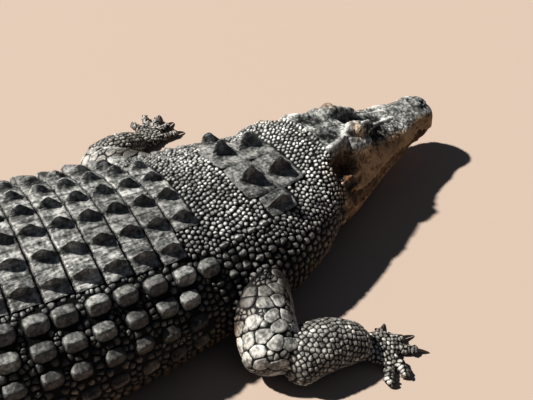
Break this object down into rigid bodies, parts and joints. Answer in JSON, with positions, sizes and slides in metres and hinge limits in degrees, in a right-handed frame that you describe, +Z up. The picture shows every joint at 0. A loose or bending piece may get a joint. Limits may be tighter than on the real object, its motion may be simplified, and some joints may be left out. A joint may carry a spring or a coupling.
{
  "type": "saltwater crocodile",
  "caption": "Life-size still model of an adult saltwater crocodile lying at rest, head just off the floor, body bent gently to its left.",
  "frame": {"origin": "on the floor under the belly, on the body's midline below the 6th band of back scutes", "axes": "the animal faces -Y there, its left side is +X, up is +Z"},
  "size_m": [1.7093, 4.2195, 0.3988],
  "materials": {
    "body_hide": "horny keeled scales, satin",
    "head_hide": "thin hide close over bone, satin",
    "jaw_hide": "smooth pitted hide, satin",
    "leg_hide": "large smooth scales, satin",
    "eye": "wet and glossy",
    "claw": "worn horn"
  },
  "bodies": {
    "root": {"skull": "head_hide", "lower_jaw": "jaw_hide", "eye_left": "eye", "eye_right": "eye", "neck": "body_hide", "trunk_chest": "body_hide", "trunk_belly": "body_hide", "trunk_hips": "body_hide", "tail_1": "body_hide", "tail_2": "body_hide", "tail_3": "body_hide", "tail_4": "body_hide", "tail_5": "body_hide", "foreleg_left_upper": "leg_hide", "foreleg_left_lower": "leg_hide", "hand_left": "leg_hide", "claw_hand_left_1": "claw", "claw_hand_left_2": "claw", "claw_hand_left_3": "claw", "foreleg_right_upper": "leg_hide", "foreleg_right_lower": "leg_hide", "hand_right": "leg_hide", "claw_hand_right_1": "claw", "claw_hand_right_2": "claw", "claw_hand_right_3": "claw", "hindleg_left_upper": "leg_hide", "hindleg_left_lower": "leg_hide", "foot_left": "leg_hide", "claw_foot_left_1": "claw", "claw_foot_left_2": "claw", "claw_foot_left_3": "claw", "hindleg_right_upper": "leg_hide", "hindleg_right_lower": "leg_hide", "foot_right": "leg_hide", "claw_foot_right_1": "claw", "claw_foot_right_2": "claw", "claw_foot_right_3": "claw"}
  },
  "joints": []
}
